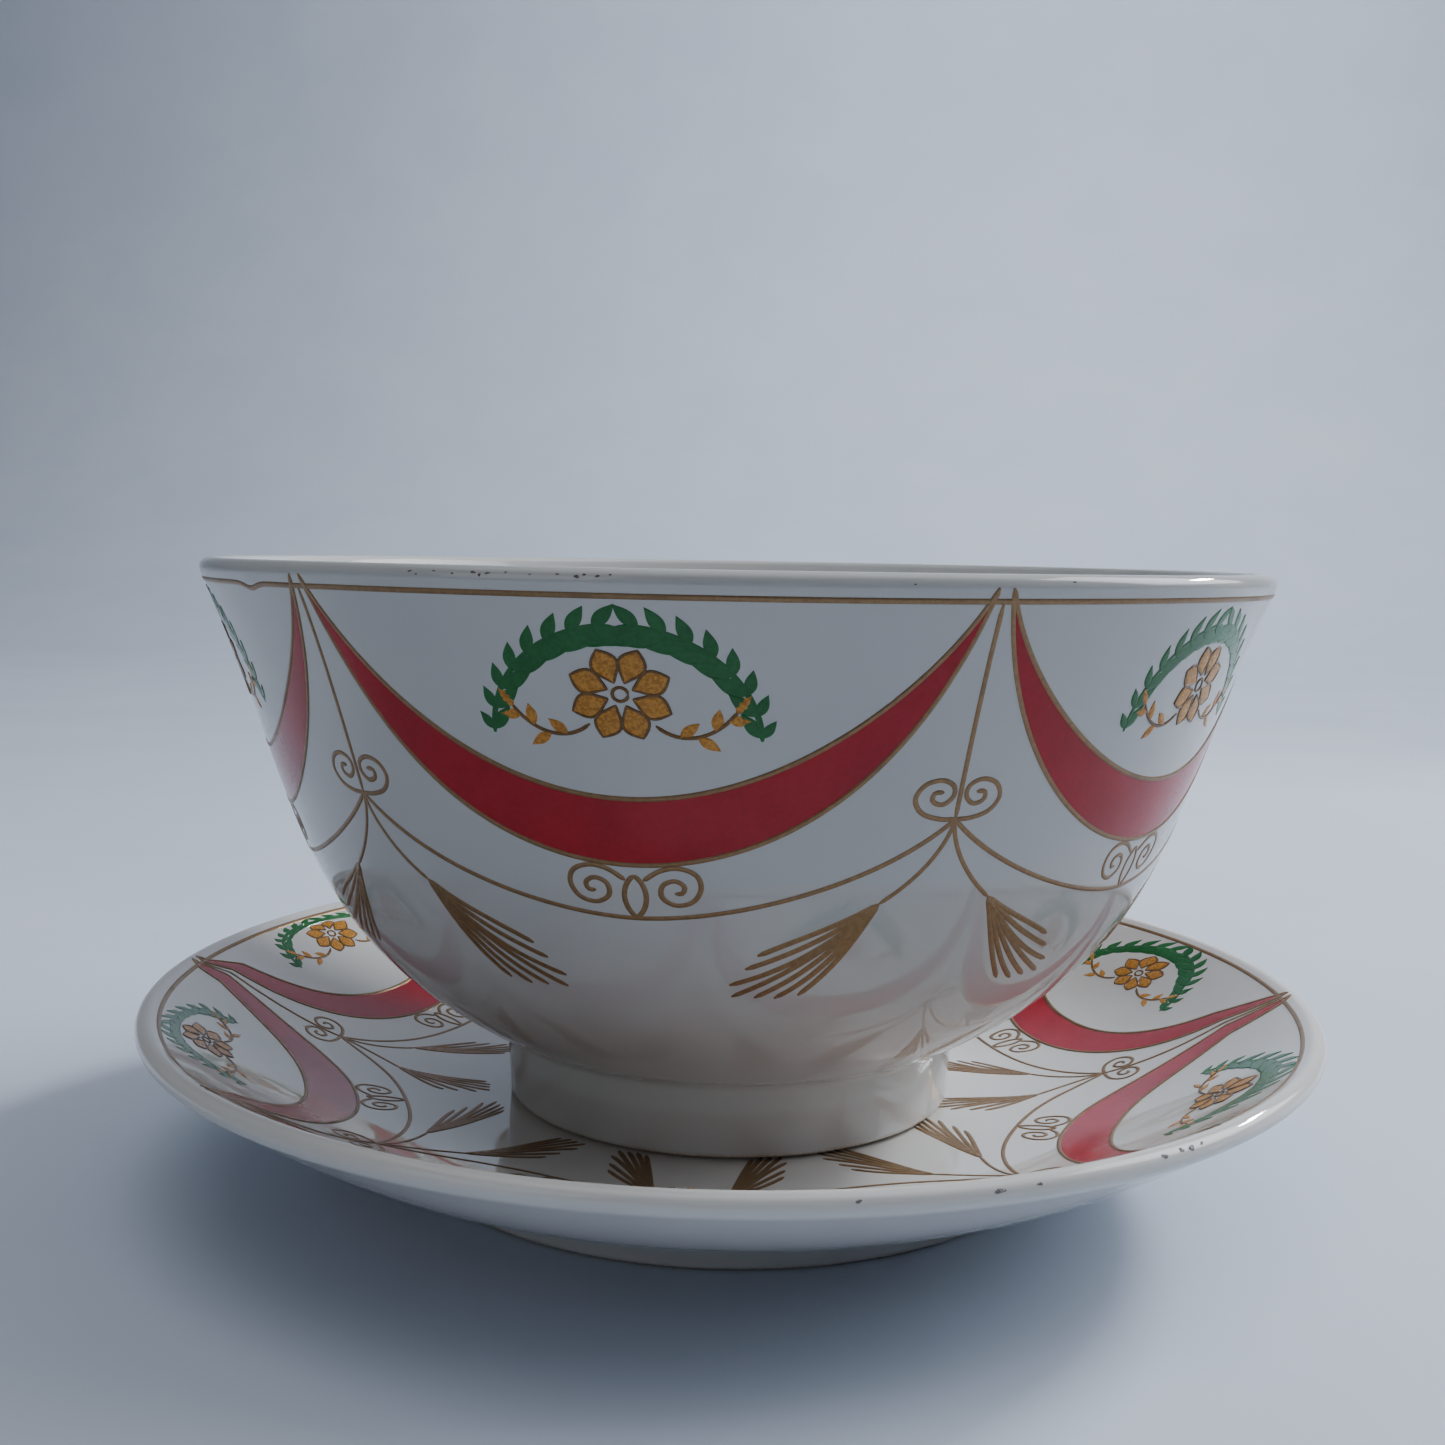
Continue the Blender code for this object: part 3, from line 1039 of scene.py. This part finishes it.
def rare_specks(place, cell, share, radius):
    """Round specks in a small share of the cells of a given size, as a mask."""
    inputs = {"Vector": place, "Scale": 1.0 / cell}
    distance = place.node("ShaderNodeTexVoronoi", None, inputs)
    chosen = place.node("ShaderNodeTexVoronoi", None, inputs, output=1)
    chosen = chosen.node("ShaderNodeSeparateColor", None, {"Color": chosen})
    return distance.ramp(radius, 0.6 * radius) * chosen.math("GREATER_THAN", chosen, 1.0 - share)


def glaze_material(name, pale, deep, pool_radius, pool_height, bare_height):
    material, place = new_material(name)
    radius, height = axis_values(place)
    cloud = place.noise(30 * MM, 2.0)
    smudge = place.noise(9 * MM, 4.0)
    peel = place.noise(1.6 * MM, 2.0)
    grit = place.noise(0.35 * MM, 2.0)

    colour = cloud.ramp(0.3, 0.7).mix(pale, deep)
    pooled = radius.ramp(pool_radius + 4 * MM, pool_radius)
    pooled = pooled * height.ramp(pool_height - 1.5 * MM, pool_height)
    pooled = pooled * height.ramp(pool_height + 4.5 * MM, pool_height + 1.0 * MM)
    colour = (0.5 * pooled).mix(colour, POOLED_TINT)
    colour = (0.75 * rare_specks(place, 5 * MM, 0.05, 0.035)).mix(colour, IRON_SPECK)
    edge = bare_height + 0.35 * MM * (smudge - 0.5)
    bare = (edge - height).ramp(0.0, 0.12 * MM)
    colour = bare.mix(colour, grit.ramp(0.35, 0.7).mix(*BARE_CLAY))

    gloss = 0.03 + 0.06 * smudge.ramp(0.45, 0.75)
    roughness = gloss + bare * (BARE_ROUGHNESS - gloss)
    relief = peel + 0.9 * (bare * grit)
    bump = {"Strength": 0.12, "Distance": 0.035 * MM, "Height": relief}
    inputs = {
        "Base Color": colour,
        "Roughness": roughness,
        "IOR": GLAZE_IOR,
        "Normal": place.node("ShaderNodeBump", None, bump),
    }
    finish_material(place, inputs)
    return material


# The bowl's glaze is mixed greyer than the saucer's. This is painted shade: it darkens the bowl's near
# side, which lies in a mild shade, though both vessels wear one glaze.
bowl_glaze = glaze_material(
    "bowl_glaze_painted_shade", (0.545, 0.55, 0.545, 1.0), (0.515, 0.525, 0.525, 1.0),
    FOOT_RADIUS, BOWL_BASE + FOOT_HEIGHT - 1.5 * MM, BOWL_BASE + 0.45 * MM,
)
saucer_glaze = glaze_material(
    "saucer_glaze_fired", (0.70, 0.69, 0.67, 1.0), (0.66, 0.655, 0.64, 1.0),
    SAUCER_FOOT_RADIUS, 2.0 * MM, 0.4 * MM,
)
print("glazes:", bowl_glaze.name, "and", saucer_glaze.name)

# %% [markdown]
# ## Enamels and gilding
#
# Overglaze enamel is ground glass with a pigment, so each colour is faintly grainy, lies a little
# unevenly and has its own soft gloss. The ochre is full of gold-brown granules. The thin lines are
# gilding that has dulled: mostly metal, brown rather than yellow, and rubbed in places.

# %% Mix the enamels
ENAMEL_IOR = 1.36


def enamel_material(name, deep, pale, grain_size, grain, roughness):
    """An enamel between two tones; grain is how strongly its granules show, from 0 to 1."""
    material, place = new_material(name)
    drift = place.noise(6 * MM, 3.0)
    granules = place.noise(grain_size, 2.0, 0.6)
    share = (1.0 - grain) * drift.ramp(0.3, 0.7) + grain * granules.ramp(0.38, 0.62)
    bump = {"Strength": 0.25, "Distance": 0.03 * MM, "Height": granules}
    inputs = {
        "Base Color": share.mix(deep, pale),
        "Roughness": roughness + 0.10 * (granules - 0.5) + 0.06 * (drift - 0.5),
        "IOR": ENAMEL_IOR,
        "Normal": place.node("ShaderNodeBump", None, bump),
    }
    finish_material(place, inputs)
    return material


def gilding_material(name, dull, bright):
    material, place = new_material(name)
    rub = place.noise(3.5 * MM, 4.0, 0.65)
    brush = place.noise(0.5 * MM, 2.0)
    worn = rub.ramp(0.52, 0.72)
    bump = {"Strength": 0.2, "Distance": 0.02 * MM, "Height": brush}
    inputs = {
        "Base Color": (0.35 + 0.65 * (brush.ramp(0.2, 0.8) * (1.0 - worn))).mix(dull, bright),
        "Metallic": 0.45 - 0.25 * worn,
        "Roughness": 0.36 + 0.14 * worn + 0.08 * (brush - 0.5),
        "Normal": place.node("ShaderNodeBump", None, bump),
    }
    finish_material(place, inputs)
    return material


enamels = {
    "gilding": gilding_material("dull_gilding", (0.17, 0.10, 0.048, 1.0), (0.30, 0.185, 0.085, 1.0)),
    "crimson": enamel_material(
        "crimson_enamel", (0.34, 0.004, 0.014, 1.0), (0.43, 0.008, 0.022, 1.0), 0.5 * MM, 0.35, 0.14
    ),
    "green": enamel_material(
        "green_enamel", (0.010, 0.115, 0.026, 1.0), (0.026, 0.175, 0.048, 1.0), 0.4 * MM, 0.3, 0.15
    ),
    "ochre": enamel_material(
        "ochre_enamel", (0.38, 0.15, 0.015, 1.0), (0.66, 0.31, 0.05, 1.0), 0.3 * MM, 0.75, 0.25
    ),
    "umber": enamel_material(
        "umber_enamel", (0.13, 0.065, 0.02, 1.0), (0.22, 0.12, 0.04, 1.0), 0.3 * MM, 0.5, 0.25
    ),
}
print("enamels:", [material.name for material in enamels.values()])

# %% Mix the worn body


def worn_body_material(name, dark, pale, size):
    """Fired clay that no glaze covers: rough and grainy."""
    material, place = new_material(name)
    grain = place.noise(size, 3.0)
    bump = {"Strength": 0.6, "Distance": 0.05 * MM, "Height": grain}
    inputs = {
        "Base Color": grain.ramp(0.35, 0.65).mix(dark, pale),
        "Roughness": 0.6 + 0.3 * grain,
        "Normal": place.node("ShaderNodeBump", None, bump),
    }
    finish_material(place, inputs)
    return material


grit = worn_body_material("lodged_grit", (0.09, 0.06, 0.045, 1.0), (0.22, 0.16, 0.12, 1.0), 0.15 * MM)
clay = worn_body_material("chipped_clay", (0.10, 0.09, 0.09, 1.0), (0.34, 0.32, 0.31, 1.0), 0.25 * MM)
print("worn body:", grit.name, "and", clay.name)

# %% Put the finishes on the pieces


def dress(piece, material):
    piece.data.materials.clear()
    piece.data.materials.append(material)


dress(bowl, bowl_glaze)
dress(saucer, saucer_glaze)
dress(bowl_pinholes, grit)
dress(saucer_chips, clay)
for colour, pieces in enamel_pieces.items():
    for piece in pieces:
        dress(piece, enamels[colour])
    print(colour, [piece.name for piece in pieces])

# %% [markdown]
# ## Floor and light
#
# The floor is a plain pale sheet that curves up behind the object, so there is no horizon, and hangs
# down over the front edge of the table. It starts as a plane, and both ends are spun through a
# quarter turn and extruded. A flat floor with a wall behind it would show a line where they meet.

# %% Lay the floor
FLOOR_WIDTH = 3.0
FLOOR_FRONT = -0.22
FLOOR_BACK = 0.75
SWEEP_RADIUS = 0.5
SWEEP_WALL = 0.8
EDGE_RADIUS = 0.03
EDGE_DROP = 0.4
FLOOR_COLOUR = (0.56, 0.62, 0.74, 1.0)
FLOOR_PALE = (0.59, 0.65, 0.76, 1.0)


def bend_edge(floor, edge_y, radius, length):
    """Turns one end of the sheet through a quarter circle about a line parallel to X and lengthens it."""
    for vertex in floor.data.vertices:
        vertex.select = abs(vertex.co.y - edge_y) < 0.001 and abs(vertex.co.z) < 0.001
    for edge in floor.data.edges:
        edge.select = all(floor.data.vertices[i].select for i in edge.vertices)
    bpy.ops.object.mode_set(mode="EDIT")
    bpy.ops.mesh.spin(steps=24, angle=-0.5 * math.pi, center=(0, edge_y, radius), axis=(1, 0, 0))
    bpy.ops.mesh.extrude_region_move(TRANSFORM_OT_translate={"value": (0.0, 0.0, length)})
    bpy.ops.mesh.select_all(action="DESELECT")
    bpy.ops.object.mode_set(mode="OBJECT")


def add_floor():
    deselect_all()
    middle = (0.0, 0.5 * (FLOOR_FRONT + FLOOR_BACK), 0.0)
    bpy.ops.mesh.primitive_plane_add(size=1.0, location=middle)
    floor = bpy.context.object
    floor.name = "floor"
    floor.scale = (FLOOR_WIDTH, FLOOR_BACK - FLOOR_FRONT, 1.0)
    bpy.ops.object.transform_apply(location=True, scale=True)
    bpy.ops.object.mode_set(mode="EDIT")
    bpy.ops.mesh.select_all(action="DESELECT")
    bpy.ops.object.mode_set(mode="OBJECT")
    bend_edge(floor, FLOOR_BACK, SWEEP_RADIUS, SWEEP_WALL)
    bend_edge(floor, FLOOR_FRONT, -EDGE_RADIUS, -EDGE_DROP)
    bpy.ops.object.mode_set(mode="EDIT")
    bpy.ops.mesh.select_all(action="SELECT")
    bpy.ops.mesh.remove_doubles(threshold=0.1 * MM)
    bpy.ops.mesh.normals_make_consistent(inside=False)
    bpy.ops.object.mode_set(mode="OBJECT")
    bpy.ops.object.shade_smooth()
    return floor


floor = add_floor()
print("floor", len(floor.data.polygons), "faces", tuple(round(d, 2) for d in floor.dimensions), "m")

# %% Give the floor its cloth


def floor_material():
    material, place = new_material("pale_floor")
    weave = place.noise(1.2 * MM, 2.0)
    shade = place.noise(60 * MM, 3.0)
    bump = {"Strength": 0.15, "Distance": 0.1 * MM, "Height": weave}
    inputs = {
        "Base Color": shade.ramp(0.3, 0.7).mix(FLOOR_COLOUR, FLOOR_PALE),
        "Roughness": 0.85 + 0.1 * (weave - 0.5),
        "Normal": place.node("ShaderNodeBump", None, bump),
    }
    finish_material(place, inputs)
    return material


dress(floor, floor_material())
print(floor.name, "is covered in", floor.active_material.name)

# %% [markdown]
# ## Light
#
# The light is a soft window at the right, with a narrow bright gap beside it that puts the small
# glints on the lips, a wide light over the table, a lamp on the sheet behind and a weak one low at
# the left. The room is dim in front, so that the near side of the bowl lies in a mild shade while
# its right side, its rim and its saucer are lit. One lamp could not do both.

# %% Hang the lights and dim the room
LIGHT_COLOUR = (0.94, 0.97, 1.0)
LAMPS = (
    # name, place, target, size, watts, spread in degrees
    ("window", (0.80, 0.25, 0.60), (0.0, 0.0, 0.03), (0.7, 0.7), 1.8, 80.0),
    ("window_gap", (0.75, 0.53, 0.56), (0.0, 0.0, 0.03), (0.25, 0.05), 0.7, 50.0),
    ("ceiling", (0.05, -0.05, 1.00), (0.05, -0.02, 0.0), (1.5, 1.5), 2.6, 90.0),
    ("backdrop_lamp", (0.45, 0.40, 1.00), (0.15, 1.20, 0.20), (0.8, 0.8), 6.6, 110.0),
    ("table_fill", (-0.50, -0.60, 0.30), (0.0, -0.10, 0.0), (0.5, 0.5), 0.25, 120.0),
)
ROOM_IN_FRONT = (0.045, 0.047, 0.052, 1.0)
ROOM_BEHIND = (0.13, 0.147, 0.185, 1.0)


def add_lamp(name, place, target, size, power, spread):
    """A soft box with a grid over it, whose spread keeps its light together."""
    data = bpy.data.lights.new(name, "AREA")
    data.shape = "RECTANGLE"
    data.size, data.size_y = size
    data.energy = power
    data.spread = math.radians(spread)
    data.color = LIGHT_COLOUR
    lamp = bpy.data.objects.new(name, data)
    bpy.context.scene.collection.objects.link(lamp)
    lamp.location = place
    lamp.rotation_mode = "QUATERNION"
    lamp.rotation_quaternion = (Vector(target) - Vector(place)).to_track_quat("-Z", "Y")


def add_room():
    """A world that is bright behind and to the right and dim in front."""
    world = bpy.data.worlds.new("soft_room")
    bpy.context.scene.world = world
    world.use_nodes = True
    tree = world.node_tree
    coordinates = tree.nodes.new("ShaderNodeTexCoord")
    direction = Wire(tree, coordinates.outputs["Generated"])
    split = direction.node("ShaderNodeSeparateXYZ", None, {"Vector": direction})
    x, y, z = (Wire(tree, split.socket.node.outputs[name]) for name in "XYZ")
    share = (0.85 * y + 0.35 * x + 0.35 * z).ramp(-0.1, 0.8)
    colour = share.mix(ROOM_IN_FRONT, ROOM_BEHIND)
    tree.links.new(colour.socket, tree.nodes["Background"].inputs["Color"])
    tree.nodes["Background"].inputs["Strength"].default_value = 1.0


for row in LAMPS:
    add_lamp(*row)
add_room()
print(len(LAMPS), "lamps,", round(sum(row[4] for row in LAMPS), 2), "W in all")
